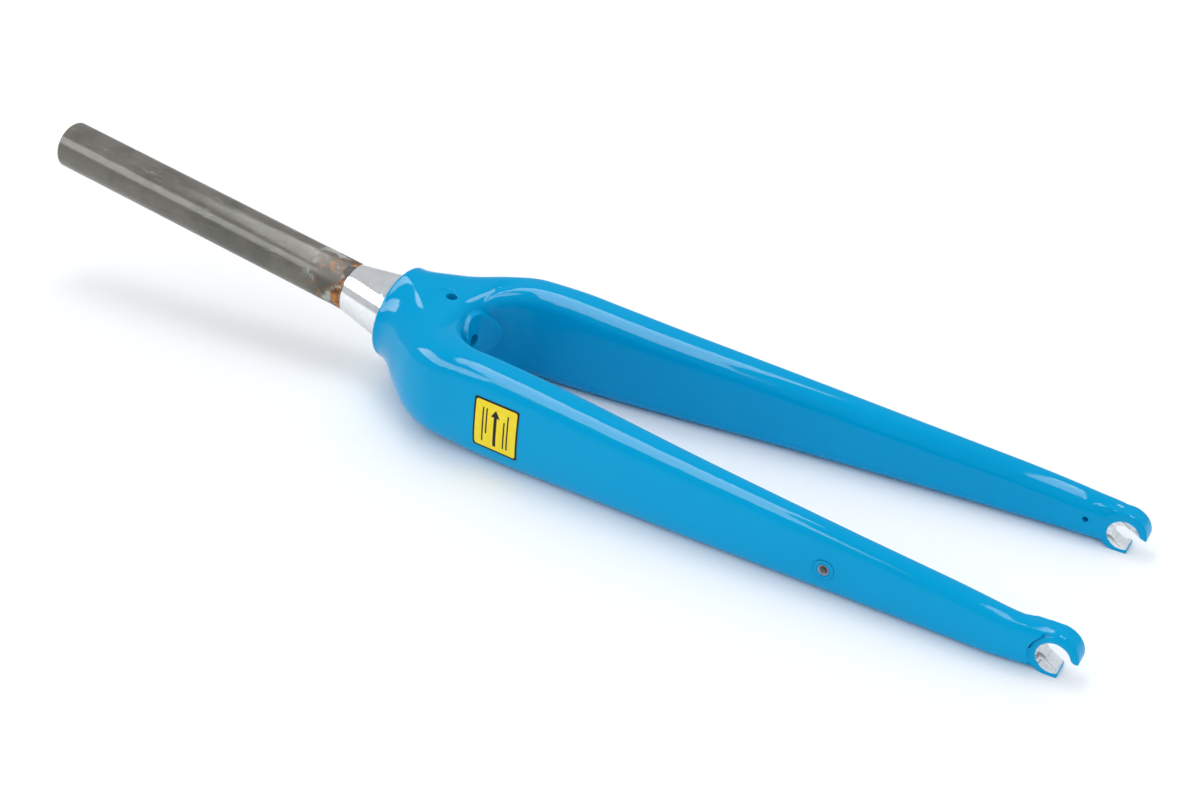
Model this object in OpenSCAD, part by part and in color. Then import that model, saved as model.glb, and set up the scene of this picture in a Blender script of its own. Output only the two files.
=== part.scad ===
// Bicycle fork with a moulded crown and straight blades, a steel steerer tube, a
// tapered crown core, slotted dropouts, two threaded blade inserts and one label.
// Units are millimetres. The fork lies on its back: +X runs from the steerer's free
// end to the dropouts, +Z is the riding direction, and the fork is symmetric in Y.
// The fork's own frame is (down, side, forward): down the steerer axis from the
// crown race seat, sideways to the left blade, and forward of the steerer axis.

/* [Fork] */
// Distance from the crown race seat to the wheel axle, measured along the steerer
axle_down = 399; // [360:0.5:440]
// Distance of the axle in front of the steerer axis
rake = 42; // [30:0.5:60]
// Free width between the two dropouts
hub_width = 100; // [90:0.5:110]
// Angle of the steerer axis above the floor when the fork lies on its back
lie_angle = 10.2; // [0:0.05:20]
// Height of the crown race seat's centre above the floor
seat_height = 39.8; // [30:0.1:60]

/* [Steerer tube] */
// Outside diameter of the steel tube
tube_od = 28.6; // [25.4:0.1:31.8]
// Wall thickness of the steel tube
tube_wall = 1.6; // [1:0.1:3]
// Wall thickness of the tube's lower end, where the core's spigot sits
tube_butt_wall = 2.2; // [1:0.1:4]
// Free length of the steel tube above the tapered section
tube_length = 212; // [120:1:300]
// Chamfer at the tube's free end
tube_chamfer = 0.4; // [0:0.1:1]

/* [Crown core] */
// Length from the race seat's foot to the top of the tapered section
taper_length = 32; // [20:0.5:60]
// Diameter of the tapered section where the steel tube butts against it
taper_top_d = 30; // [28.6:0.1:34]
// Diameter of the crown race seat
race_seat_d = 39.8; // [30:0.1:45]
// Height of the cylindrical race seat
race_seat_height = 6; // [3:0.5:12]
// Step from the tapered section out to the race seat, and depth of the relief at its foot
race_seat_step = 0.3; // [0:0.1:1]
// Width of the relief at the seat's foot, next to the collar
race_relief = 0.5; // [0:0.1:2]
// Length of the chamfer at each end of the seat
race_chamfer = 0.2; // [0.1:0.1:1]
// Length of the spigot inside the steel tube
spigot_length = 45; // [20:1:80]
// Diameter of the bore through the core
core_bore_d = 21; // [15:0.5:24]
// Diameter of the core inside the crown and of its end in the arch
core_d = 32; // [30:0.5:44]
// Position of the core's end below the race seat, at the middle of the arch
core_end = 49; // [42:0.5:60]
// Radius of the hollow that the core's end is cut to, for the tyre
core_end_radius = 18; // [16:0.5:40]
// Thickness of the core's bottom wall
core_floor = 9; // [4:0.5:15]
// Diameter of the mudguard hole in the core's end
mudguard_hole_d = 7.4; // [5:0.1:10]

/* [Crown] */
// Diameter of the crown's collar below the race seat
collar_d = 54.6; // [46:0.1:60]
// Chamfer round the collar's rim
collar_chamfer = 0.8; // [0:0.1:2]
// Half of the crown's width at its shoulders
shoulder_half = 57.3; // [45:0.1:70]
// Position of the arch's top below the race seat
arch_top = 45; // [40:0.5:60]
// Radius of the arch in the view from the front
arch_radius = 32; // [25:0.5:40]
// Rounding between the front or rear face and the arch
arch_round = 9; // [3:0.5:14]
// Position of the brake hole below the race seat
brake_hole_down = 31; // [24:0.5:40]
// Diameter of the brake hole's front
brake_hole_d = 6.2; // [5:0.1:8]
// Diameter of the brake nut's seat at the rear
brake_nut_d = 8.2; // [6:0.1:12]
// Depth of the brake nut's seat from the rear face
brake_nut_depth = 14; // [5:1:20]
// Diameter of the flat spot round the brake hole
brake_spot_d = 15; // [10:0.5:20]
// Depth of the flat spot below the crown's front face
brake_spot_depth = 0.3; // [0:0.1:1]

/* [Blades] */
// Thickness of a blade at the crown, across the fork
blade_thick_top = 25.5; // [18:0.5:32]
// Thickness of a blade at its lower end, across the fork
blade_thick_end = 16.2; // [12:0.1:22]
// Half of the fork's width over the blades at their lower end
blade_half_end = 65.4; // [60:0.1:75]
// Front of a blade ahead of the steerer axis at its lower end
blade_front_end = 51.6; // [45:0.1:60]
// Position where the moulded blade ends and the dropout begins
blade_end = 372; // [350:1:385]
// Squareness of the blade's front corners, where 2 is an ellipse
front_square = 3.4; // [2:0.1:6]
// Squareness of the blade's rear corners, where 2 is an ellipse
rear_square = 2.7; // [2:0.1:6]
// Wall thickness of the hollow blade
blade_wall = 3; // [2:0.1:5]

/* [Dropouts] */
// Radius of the dropout's round head
head_radius = 12; // [10:0.1:16]
// Distance of the head's centre below the axle
head_shift = 0.8; // [0:0.1:4]
// Chamfer round the head
head_chamfer = 0.8; // [0:0.1:2]
// Thickness of the dropout between the hub and the axle nut
dropout_thick = 7.5; // [5:0.1:9]
// Height of the retention lip over the nut's seat
lip_height = 3.4; // [0:0.1:4]
// Diameter of the nut's seat
nut_seat_d = 15.6; // [14:0.1:22]
// Distance of the nut seat's centre from the axle, towards the slot's mouth
nut_seat_shift = 1.4; // [0:0.1:4]
// Width of the axle slot
slot_width = 9; // [8:0.1:10]
// Direction of the slot, turned rearwards from the steerer axis
slot_angle = 18; // [0:0.5:60]
// Angle between each side of the slot and its middle line
slot_flare = 4.5; // [0:0.5:10]
// Length of the jaw below the slot, from the axle to its end
short_jaw = 8.9; // [6:0.1:12]
// Distance of the vent hole from the moulded blade's end
vent_down = 8.6; // [5:0.1:12]
// Diameter of the vent hole
vent_d = 3; // [2:0.1:5]

/* [Blade inserts] */
// Position of the threaded insert below the race seat
insert_down = 289; // [200:0.5:350]
// Diameter of the insert's thread, drawn as a plain bore
insert_bore_d = 5; // [4:0.1:6]
// Outside diameter of the insert's body
insert_d = 7; // [6:0.1:10]
// Diameter of the raised ring round the insert
insert_ring_d = 11; // [8:0.5:16]
// Length of the insert
insert_length = 12; // [6:0.5:15]

/* [Label] */
// Position of the label's upper edge below the race seat
label_down = 86.3; // [75:0.5:120]
// Position of the label's upper front corner ahead of the steerer axis
label_front = 19.3; // [10:0.1:25]
// Length of the label along the blade
label_length = 27.4; // [15:0.1:40]
// Width of the label from front to rear
label_width = 30.4; // [15:0.5:40]
// Thickness of the label
label_thick = 0.3; // [0.1:0.05:0.5]

/* [Hidden] */

$fn = 96;
tube_r = tube_od / 2;
tube_bore_r = tube_r - tube_wall;
spigot_r = tube_r - tube_butt_wall;
collar_r = collar_d / 2;
core_r = core_d / 2;
seat_r = race_seat_d / 2;
core_tilt = atan2(rake, axle_down);
arch_centre = arch_top + arch_radius;
hub_half = hub_width / 2;
plate = dropout_thick + lip_height;
over = 1;

// The fork lies on its back, with the middle of its box at the origin
low_x = -(taper_length + tube_length) * cos(lie_angle) - tube_r * sin(lie_angle);
high_x = (axle_down + head_shift) * cos(lie_angle) + rake * sin(lie_angle) + head_radius;
module lying()
    translate([-(low_x + high_x) / 2, 0, seat_height])
        rotate([0, lie_angle, 0])
            children();

// Rear face of the fork where it rests on the floor
function floor_line(s) = (s * sin(lie_angle) - seat_height) / cos(lie_angle);

// Smooth curve through the rows [position, value] of a short table
function slope(tab, i) =
    i == 0 ? (tab[1][1] - tab[0][1]) / (tab[1][0] - tab[0][0])
    : i == len(tab) - 1 ? (tab[i][1] - tab[i - 1][1]) / (tab[i][0] - tab[i - 1][0])
    : (tab[i + 1][1] - tab[i - 1][1]) / (tab[i + 1][0] - tab[i - 1][0]);
function row_at(tab, s, i = 0) =
    i >= len(tab) - 2 || s <= tab[i + 1][0] ? i : row_at(tab, s, i + 1);
function curve(tab, s) =
    let (i = row_at(tab, s),
         a = tab[i],
         b = tab[i + 1],
         w = b[0] - a[0],
         u = max(0, min(1, (s - a[0]) / w)))
    a[1] * (1 + 2 * u) * (1 - u) * (1 - u) + slope(tab, i) * w * u * (1 - u) * (1 - u)
    + b[1] * u * u * (3 - 2 * u) + slope(tab, i + 1) * w * u * u * (u - 1);

// Half width over the crown and blades
half_width = [[0, collar_r], [5, collar_r + 0.6], [13, 32.3], [25, 41.8], [40, 51.6],
              [56, shoulder_half - 0.4], [75, shoulder_half], [110, shoulder_half + 0.8],
              [200, 61.2], [300, 63.4], [blade_end, blade_half_end]];
// Front face ahead of the steerer axis, on the shoulders and along the blades
front_face = [[0, collar_r], [12, collar_r - 0.4], [25, 25.2], [42, 26.2], [60, 28.8],
              [80, 31.4], [100, 33], [160, 36.8], [240, 42.6], [320, 48.6],
              [350, 50.7], [blade_end, blade_front_end]];
// Front face in the middle of the crown, where the brake seats
brake_face = 26;
front_middle = [[0, collar_r], [15, collar_r - 0.6], [brake_hole_down, brake_face],
                [arch_top, brake_face]];
// Rear face on the crown, down to where the blades rest on the floor
rest_start = 85;
rear_face = [[0, -collar_r], [12, -28], [25, -29.8], [42, -30.2], [60, -27.8],
             [rest_start, floor_line(rest_start)]];
// Thickness of a blade across the fork
thickness = [[arch_centre, blade_thick_top], [140, 25], [220, 21.2], [310, 17.6],
             [blade_end, blade_thick_end]];
// Width of the rounding at the outer side, towards the front and towards the rear
front_round = [[0, collar_r], [12, 27], [30, 26], [55, 18], [90, blade_thick_top / 2]];
rear_round = [[0, collar_r], [12, 27], [30, 26], [55, 22], [80, 17],
              [110, blade_thick_top / 2 - 0.1]];

function outer(s) = curve(half_width, s);
function front(s) = curve(front_face, s);
function rear(s) = s > rest_start ? floor_line(s) : curve(rear_face, s);
// Extra width of the arch beyond its circle, which leads into the blades
function flare(s) =
    (outer(s) - curve(thickness, max(s, arch_centre)) - arch_radius)
    * pow(max(0, min(1, (s - arch_top) / arch_radius)), 2);
function inner(s) =
    s <= arch_top ? 0
    : s < arch_centre ? sqrt(pow(arch_radius, 2) - pow(arch_centre - s, 2)) + flare(s)
    : outer(s) - curve(thickness, s);
// Distance of a point from the arch and the blade's inner side, in the front view
function arch_gap(s, y) =
    s < arch_centre ? norm([arch_centre - s, y - flare(s)]) - arch_radius
    : y - inner(s);
function corner(s) = s < 90 ? arch_round : min(arch_round, curve(thickness, s) / 2);
function round_drop(s, y) =
    let (r = corner(s), gap = max(0, arch_gap(s, y)))
    gap >= r ? 0 : r - sqrt(pow(r, 2) - pow(r - gap, 2));
function saddle(s, y) =
    s > arch_centre ? 0
    : (front(s) - curve(front_middle, min(s, arch_top)))
      * pow(cos(90 * min(1, y / 34)), 2) * (s < arch_top ? 1 : 1 - (s - arch_top) / arch_radius);
function rounding(s, side) =
    side > 0 && s < 90 ? curve(front_round, s)
    : side < 0 && s < 110 ? curve(rear_round, s)
    : curve(thickness, s) / 2;
function square(s, side) =
    2 + ((side > 0 ? front_square : rear_square) - 2) * pow(sin(min(90, 1.2 * s)), 2);
function rim(s) = max(0, collar_chamfer - s);

// Height of the front (side 1) or rear (side -1) face at a point of the front view
function face_at(s, y, side) =
    let (mid = (front(s) + rear(s)) / 2,
         half = (front(s) - rear(s)) / 2 - rim(s),
         n = square(s, side),
         x = max(0, 1 - (outer(s) - rim(s) - y) / rounding(s, side)))
    mid + side * (half * pow(max(0, 1 - pow(min(1, x), n)), 1 / n) - round_drop(s, y))
    - (side > 0 ? saddle(s, y) : 0);

// Stations down the fork, closest where the arch begins
crown_stations = concat([0, collar_chamfer, 3, 6, 9, 12, 16, 20, 25, 30],
                        [for (d = [11, 8, 6, 4, 2.5, 1.2, 0.4, 0]) arch_top - d]);
blade_stations = concat([for (d = [0.3, 1, 2.2, 4, 6.5, 9.5, 13, 17, 21.5, 26.5, 32, 38, 46])
                            arch_top + d],
                        [for (i = [0 : 15]) 100 + (blade_end - 100) * i / 15]);
inner_steps = 5;
outer_steps = 10;
last = 2 * (inner_steps + outer_steps);

// Points across one half section, from the inner side to the outer side
function across(s, side) =
    let (yi = inner(s),
         yo = outer(s) - rim(s),
         y1 = yi + corner(s),
         r = rounding(s, side),
         n = square(s, side),
         x1 = max(0, 1 - (yo - y1) / r),
         a1 = acos(pow(x1, n / 2)))
    concat([for (k = [0 : inner_steps]) yi + corner(s) * (1 - cos(90 * k / inner_steps))],
           [for (k = [1 : outer_steps])
               yo - r * (1 - pow(cos(a1 * (1 - k / outer_steps)), 2 / n))]);

// Outline of one half section: front face outwards, then rear face inwards
function outline(s) =
    let (f = across(s, 1), b = across(s, -1), n = inner_steps + outer_steps)
    concat([for (k = [0 : n]) [s, f[k], face_at(s, f[k], 1)]],
           [for (k = [1 : n]) [s, b[n - k], face_at(s, b[n - k], -1)]]);
// Two points on the flat inner wall between the rear and the front corner
function wall(s, o) =
    [for (k = [1, 2]) [s, o[0][1], o[last][2] + (o[0][2] - o[last][2]) * k / 3]];

function mirrored(pts) = [for (p = pts) [p[0], -p[1], p[2]]];

// Crown and both blades as one closed skin
ring = 2 * last;
lobe = last + 3;
arch_start = len(crown_stations) * ring;
blades_start = arch_start + 2;
function at_crown(i, side, k) =
    ring * i + (side > 0 || k == 0 || k == last ? k : last + k);
function at_blade(i, side, k) =
    blades_start + 2 * lobe * i + (side > 0 ? 0 : lobe) + k % lobe;
function at_arch(side, k) =
    k % lobe <= last ? at_crown(len(crown_stations) - 1, side, k % lobe)
    : arch_start + k % lobe - last - 1;
function quad(a, b, c, d, side) = side > 0 ? [[a, b, c], [a, c, d]] : [[a, c, b], [a, d, c]];

module skin() {
    crown_points = [for (s = crown_stations)
                        let (o = outline(s), m = mirrored(o))
                        each concat(o, [for (k = [1 : last - 1]) m[k]])];
    arch_points = wall(arch_top, outline(arch_top));
    blade_points = [for (s = blade_stations)
                        let (o = outline(s), w = wall(s, o))
                        each concat(o, w, mirrored(o), mirrored(w))];
    nc = len(crown_stations);
    nb = len(blade_stations);
    faces = concat(
        [concat([for (k = [last : -1 : 1]) at_crown(0, 1, k)],
                [for (k = [0 : last - 1]) at_crown(0, -1, k)])],
        [for (side = [1, -1], i = [0 : nc - 2], k = [0 : last - 1])
            each quad(at_crown(i, side, k), at_crown(i, side, k + 1),
                      at_crown(i + 1, side, k + 1), at_crown(i + 1, side, k), side)],
        [for (side = [1, -1], k = [0 : lobe - 1])
            each quad(at_arch(side, k), at_arch(side, k + 1),
                      at_blade(0, side, k + 1), at_blade(0, side, k), side)],
        [for (side = [1, -1], i = [0 : nb - 2], k = [0 : lobe - 1])
            each quad(at_blade(i, side, k), at_blade(i, side, k + 1),
                      at_blade(i + 1, side, k + 1), at_blade(i + 1, side, k), side)],
        [[for (k = [0 : lobe - 1]) at_blade(nb - 1, 1, k + last / 2)],
         [for (k = [lobe - 1 : -1 : 0]) at_blade(nb - 1, -1, k + last / 2)]]);
    polyhedron(concat(crown_points, arch_points, blade_points), faces);
}

// Solid between like sections, each a closed list of points. A band is a section whose
// second half runs back along its first half.
module loft(sections, band = false) {
    n = len(sections[0]);
    m = len(sections);
    half = floor(n / 2);
    cap = band ? [for (k = [0 : half - 2]) each [[k, k + 1, n - 2 - k], [k, n - 2 - k, n - 1 - k]]]
        : [for (k = [1 : n - 2]) [half, (half + k) % n, (half + k + 1) % n]];
    polyhedron(
        [for (q = sections) each q],
        concat(cap,
               [for (i = [0 : m - 2], k = [0 : n - 1])
                   each [[n * i + k, n * (i + 1) + k, n * i + (k + 1) % n],
                         [n * i + (k + 1) % n, n * (i + 1) + k, n * (i + 1) + (k + 1) % n]]],
               [for (f = cap) [for (k = [2, 1, 0]) n * (m - 1) + f[k]]]));
}
function rounded(s, y0, y1, z0, z1, n, steps) =
    [for (k = [0 : steps - 1])
        let (a = 360 * k / steps, c = cos(a), d = sin(a))
        [s, (y0 + y1) / 2 + (y1 - y0) / 2 * sign(c) * pow(abs(c), 2 / n),
         (z0 + z1) / 2 + (z1 - z0) / 2 * sign(d) * pow(abs(d), 2 / n)]];

// Hollow of one blade
hollow_start = 75;
hollow_end = blade_end - 22;
module hollow()
    loft([for (s = [hollow_start, 100, 140, 190, 240, 300, hollow_end])
        rounded(s, inner(s) + blade_wall, outer(s) - blade_wall, rear(s) + blade_wall + 1,
                front(s) - blade_wall, 2.6, 16)]);

// Tongue of a dropout inside the blade's end
tongue_y = [inner(blade_end) + blade_wall, outer(blade_end) - blade_wall];
tongue_z = [rear(blade_end) + blade_wall + 1.5, front(blade_end) - blade_wall - 1];
module tongue(before, after)
    translate([hollow_end - 2 - before, tongue_y[0], tongue_z[0]])
        cube([blade_end - hollow_end + 2 + before + after, tongue_y[1] - tongue_y[0],
              tongue_z[1] - tongue_z[0]]);

// Core of the crown, as a solid without its bores
module core_shape(extra = 0) {
    rotate([0, 90, 0])
        cylinder(r = core_r, h = 22);
    rotate([0, 90 - core_tilt, 0])
        cylinder(r = core_r, h = core_end + 14 + extra);
}
module core_hollow_cut()
    rotate([0, -core_tilt, 0])
        translate([core_end + core_end_radius, 0, 0])
            cylinder(r = core_end_radius, h = 4 * core_r, center = true);

module brake_hole() {
    translate([brake_hole_down, 0, -collar_r - 20])
        cylinder(d = brake_hole_d, h = 2 * collar_r + 40);
    translate([brake_hole_down, 0, rear(brake_hole_down) - over])
        cylinder(d = brake_nut_d, h = brake_nut_depth + over);
}
function insert_height() = (front(insert_down) + rear(insert_down)) / 2 - 1.5;
module insert_place(extra = 0)
    translate([insert_down, outer(insert_down) + 0.3 + extra, insert_height()])
        rotate([90, 0, 0])
            children();

module both_sides()
    for (side = [1, -1])
        scale([1, side, 1])
            children();

module steerer_tube()
    color([0.45, 0.44, 0.43])
        lying()
            translate([-taper_length, 0, 0])
                rotate([0, -90, 0])
                    difference() {
                        union() {
                            cylinder(r = tube_r, h = tube_length - tube_chamfer);
                            translate([0, 0, tube_length - tube_chamfer])
                                cylinder(r1 = tube_r, r2 = tube_r - tube_chamfer,
                                         h = tube_chamfer);
                        }
                        translate([0, 0, spigot_length])
                            cylinder(r = tube_bore_r, h = tube_length);
                        translate([0, 0, -over])
                            cylinder(r = spigot_r, h = spigot_length + 2 * over);
                    }

module race_seat() {
    low_r = seat_r - race_seat_step;
    width = race_seat_height - race_relief;
    cylinder(r = low_r, h = race_seat_height);
    cylinder(r1 = low_r, r2 = seat_r, h = race_chamfer);
    translate([0, 0, race_chamfer])
        cylinder(r = seat_r, h = width - 2 * race_chamfer);
    translate([0, 0, width - race_chamfer])
        cylinder(r1 = seat_r, r2 = low_r, h = race_chamfer);
}
module crown_core()
    color([0.86, 0.87, 0.88])
        lying()
            difference() {
                union() {
                    translate([-taper_length - spigot_length, 0, 0])
                        rotate([0, 90, 0])
                            cylinder(r = spigot_r, h = spigot_length + 2);
                    translate([-taper_length, 0, 0])
                        rotate([0, 90, 0])
                            cylinder(r1 = taper_top_d / 2 - 0.6, r2 = taper_top_d / 2, h = 0.6);
                    translate([0.6 - taper_length, 0, 0])
                        rotate([0, 90, 0])
                            cylinder(r1 = taper_top_d / 2, r2 = seat_r - race_seat_step,
                                     h = taper_length - race_seat_height - 0.6);
                    translate([-race_seat_height, 0, 0])
                        rotate([0, 90, 0])
                            race_seat();
                    core_shape();
                }
                core_hollow_cut();
                translate([-taper_length - spigot_length - over, 0, 0])
                    rotate([0, 90, 0])
                        cylinder(d = core_bore_d, h = taper_length + spigot_length + over
                                                      + core_end - core_floor);
                rotate([0, 90 - core_tilt, 0])
                    cylinder(d = mudguard_hole_d, h = core_end + 20);
                brake_hole();
            }

module fork_body()
    color([0, 0.67, 0.88])
        lying()
            difference() {
                skin();
                core_shape(over);
                brake_hole();
                translate([brake_hole_down, 0, brake_face - brake_spot_depth])
                    cylinder(d = brake_spot_d, h = 12);
                both_sides() {
                    hollow();
                    tongue(over, over);
                    insert_place(over)
                        cylinder(d = insert_d, h = insert_length + 2 * over);
                }
            }

// Neck of a dropout, from the blade's end to the round head
neck_length = 26;
neck_steps = 10;
neck_outer = 2.2;
jaw_inset = 0.4;
neck_top = [[0, front(blade_end)], [0.35, front(blade_end) - 0.6], [0.6, front(blade_end) + 0.4],
            [0.8, rake + head_radius - 0.9], [1, rake + head_radius - 0.2]];
function mix(a, b, v) = a + (b - a) * v;
// Section of the blade's end, moved and scaled to the neck's size at the share u
function neck_section(u) =
    let (s = blade_end + neck_length * u,
         v = u * u * (3 - 2 * u),
         y0 = inner(blade_end),
         y1 = outer(blade_end),
         z0 = rear(blade_end),
         z1 = front(blade_end),
         o = outline(blade_end),
         ny = [mix(y0, hub_half + jaw_inset, v), mix(y1, hub_half + plate + neck_outer, v)],
         nz = [floor_line(s), curve(neck_top, u)])
    [for (q = concat(o, wall(blade_end, o)))
        [s, mix(ny[0], ny[1], (q[1] - y0) / (y1 - y0)), mix(nz[0], nz[1], (q[2] - z0) / (z1 - z0))]];
module at_head(y)
    translate([axle_down + head_shift, y, rake])
        rotate([-90, 0, 0])
            children();
// The slot's outline, with its middle line along X, and the cut that shortens the lower
// jaw. The flared sides start just inside the slot's round end.
module slot_outline() {
    r = slot_width / 2 - 0.02;
    reach = 3 * head_radius;
    circle(d = slot_width);
    polygon([for (side = [1, -1], d = side > 0 ? [0, reach] : [reach, 0])
                [d * cos(slot_flare) - r * sin(slot_flare),
                 side * (d * sin(slot_flare) + r * cos(slot_flare))]]);
    translate([short_jaw, 0])
        square([2 * head_radius, 2 * head_radius]);
}
module below_floor()
    rotate([0, -lie_angle, 0])
        translate([axle_down - 60, 0, -seat_height - 20])
            cube([120, 2 * hub_half, 20]);
module dropout()
    difference() {
        union() {
            tongue(0, 2);
            loft([for (k = [neck_steps : -1 : 0]) neck_section(k / neck_steps)]);
            at_head(hub_half)
                cylinder(r1 = head_radius - head_chamfer, r2 = head_radius, h = head_chamfer);
            at_head(hub_half + head_chamfer)
                cylinder(r = head_radius, h = plate - 2 * head_chamfer);
            at_head(hub_half + plate - head_chamfer)
                cylinder(r1 = head_radius, r2 = head_radius - head_chamfer, h = head_chamfer);
        }
        at_head(hub_half + plate)
            cylinder(r = head_radius, h = 12);
        translate([axle_down, 0, rake])
            rotate([0, slot_angle, 0]) {
                translate([nut_seat_shift, hub_half + dropout_thick, 0])
                    rotate([-90, 0, 0])
                        cylinder(d = nut_seat_d, h = lip_height + 12);
                translate([0, hub_half - 10, 0])
                    rotate([-90, 0, 0])
                        linear_extrude(plate + 20)
                            slot_outline();
            }
        below_floor();
        translate([blade_end + vent_down, hub_half - 10, rake - 1])
            rotate([-90, 0, 0])
                cylinder(d = vent_d, h = 18);
        translate([hollow_end - 4, hub_half + 7.2, rake - 1])
            rotate([0, 90, 0])
                cylinder(d = 0.7 * vent_d, h = blade_end + vent_down - hollow_end + 4);
    }

module dropout_right()
    color([0, 0.67, 0.88])
        lying()
            scale([1, -1, 1])
                dropout();

module dropout_left()
    color([0, 0.67, 0.88])
        lying()
            dropout();

module insert_body()
    insert_place()
        difference() {
            union() {
                cylinder(d = insert_d, h = insert_length);
                cylinder(d = insert_ring_d, h = 0.3);
            }
            translate([0, 0, -over])
                cylinder(d = insert_bore_d, h = insert_length + 2 * over);
        }

module insert_right()
    color([0.75, 0.76, 0.78])
        lying()
            scale([1, -1, 1])
                insert_body();

module insert_left()
    color([0.75, 0.76, 0.78])
        lying()
            insert_body();

// Label wrapped round the blade's outer side, following its section
label_gap = 0.04;
label_steps = [6, 16];
label_lean = 3;
label_rise = 3.2;
function side_y(s, z) =
    let (mid = (front(s) + rear(s)) / 2,
         half = (front(s) - rear(s)) / 2,
         side = z > mid ? 1 : -1,
         n = square(s, side))
    outer(s) - rounding(s, side) * (1 - pow(max(0, 1 - pow(abs(z - mid) / half, n)), 1 / n));
// Point of the label at the shares u along and v across, lifted off the blade
function label_point(u, v, lift) =
    let (s = label_down + label_length * u + label_lean * v,
         z = label_front + label_rise * u - label_width * v,
         y = side_y(s, z),
         dy = side_y(s, z + 0.2) - side_y(s, z - 0.2),
         r = norm([dy, 0.4]))
    [s, y + lift * 0.4 / r, z - lift * dy / r];
module direction_label()
    color([0.98, 0.82, 0.1])
        lying()
            scale([1, -1, 1])
                loft([for (i = [0 : label_steps[0]])
                    let (u = i / label_steps[0], m = label_steps[1])
                    concat([for (j = [0 : m]) label_point(u, j / m, label_gap)],
                           [for (j = [m : -1 : 0])
                               label_point(u, j / m, label_gap + label_thick)])],
                     band = true);

steerer_tube();
crown_core();
fork_body();
dropout_right();
dropout_left();
insert_right();
insert_left();
direction_label();
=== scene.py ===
import math

import bmesh
import bpy
from mathutils import Matrix, Vector


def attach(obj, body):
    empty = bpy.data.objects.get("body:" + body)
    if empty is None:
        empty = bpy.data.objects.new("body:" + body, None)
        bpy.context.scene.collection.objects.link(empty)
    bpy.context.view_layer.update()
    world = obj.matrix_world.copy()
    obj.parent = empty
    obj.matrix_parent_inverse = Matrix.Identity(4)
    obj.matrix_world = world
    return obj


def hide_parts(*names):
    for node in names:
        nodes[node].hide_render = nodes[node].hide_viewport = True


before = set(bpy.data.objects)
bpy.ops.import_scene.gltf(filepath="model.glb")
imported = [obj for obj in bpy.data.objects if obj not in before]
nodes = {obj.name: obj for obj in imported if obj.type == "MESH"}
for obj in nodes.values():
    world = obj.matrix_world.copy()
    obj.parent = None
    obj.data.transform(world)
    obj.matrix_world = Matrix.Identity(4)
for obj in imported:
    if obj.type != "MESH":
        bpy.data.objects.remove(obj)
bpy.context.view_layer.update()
scene = bpy.context.scene

MM = 0.001

# ---------------------------------------------------------------- the fork's own frame
# (down, side, forward) in millimetres from the crown race seat, as in the CAD source
LIE = math.radians(10.2)
SEAT_HEIGHT = 39.8
AXLE_DOWN, RAKE = 399.0, 42.0
HEAD_RADIUS, HEAD_SHIFT = 12.0, 0.8
TAPER, TUBE, TUBE_R = 32.0, 212.0, 14.3
COS, SIN = math.cos(LIE), math.sin(LIE)
LOW_X = -(TAPER + TUBE) * COS - TUBE_R * SIN
HIGH_X = (AXLE_DOWN + HEAD_SHIFT) * COS + RAKE * SIN + HEAD_RADIUS
SHIFT_X = -(LOW_X + HIGH_X) / 2


def row(s, y, t):
    """A point of the fork frame, in millimetres, as a point of the row frame in metres."""
    return Vector((s * COS + t * SIN + SHIFT_X, y, -s * SIN + t * COS + SEAT_HEIGHT)) * MM


def turned(s, y, t):
    """A direction of the fork frame in the row frame."""
    return Vector((s * COS + t * SIN, y, -s * SIN + t * COS)).normalized()


# ---------------------------------------------------------------- form of the crown and blades
COLLAR_R, COLLAR_CHAMFER = 27.3, 0.8
SHOULDER = 57.3
ARCH_TOP, ARCH_R, ARCH_ROUND = 45.0, 32.0, 9.0
ARCH_MID = ARCH_TOP + ARCH_R
BRAKE_DOWN = 31.0
BLADE_TOP, BLADE_THIN = 25.5, 16.2
BLADE_HALF, BLADE_FRONT, BLADE_END = 65.4, 51.6, 372.0
FRONT_SQUARE, REAR_SQUARE = 3.4, 2.7
REST_START = 85.0
CORE_R, CORE_END, CORE_END_R = 16.0, 49.0, 18.0
CORE_TILT = math.atan2(RAKE, AXLE_DOWN)


def floor_line(s):
    return (s * SIN - SEAT_HEIGHT) / COS


HALF_WIDTH = [(0, COLLAR_R), (5, COLLAR_R + 0.6), (13, 32.3), (25, 41.8), (40, 51.6),
              (56, SHOULDER - 0.4), (75, SHOULDER), (110, SHOULDER + 0.8), (200, 61.2),
              (300, 63.4), (BLADE_END, BLADE_HALF)]
FRONT_FACE = [(0, COLLAR_R), (12, COLLAR_R - 0.4), (25, 25.2), (42, 26.2), (60, 28.8), (80, 31.4),
              (100, 33), (160, 36.8), (240, 42.6), (320, 48.6), (350, 50.7),
              (BLADE_END, BLADE_FRONT)]
BRAKE_FACE = 26.0
FRONT_MIDDLE = [(0, COLLAR_R), (15, COLLAR_R - 0.6), (BRAKE_DOWN, BRAKE_FACE),
                (ARCH_TOP, BRAKE_FACE)]
REAR_FACE = [(0, -COLLAR_R), (12, -28), (25, -29.8), (42, -30.2), (60, -27.8),
             (REST_START, floor_line(REST_START))]
THICKNESS = [(ARCH_MID, BLADE_TOP), (140, 25), (220, 21.2), (310, 17.6), (BLADE_END, BLADE_THIN)]
FRONT_ROUND = [(0, COLLAR_R), (12, 27), (30, 26), (55, 18), (90, BLADE_TOP / 2)]
REAR_ROUND = [(0, COLLAR_R), (12, 27), (30, 26), (55, 22), (80, 17), (110, BLADE_TOP / 2 - 0.1)]


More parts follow.
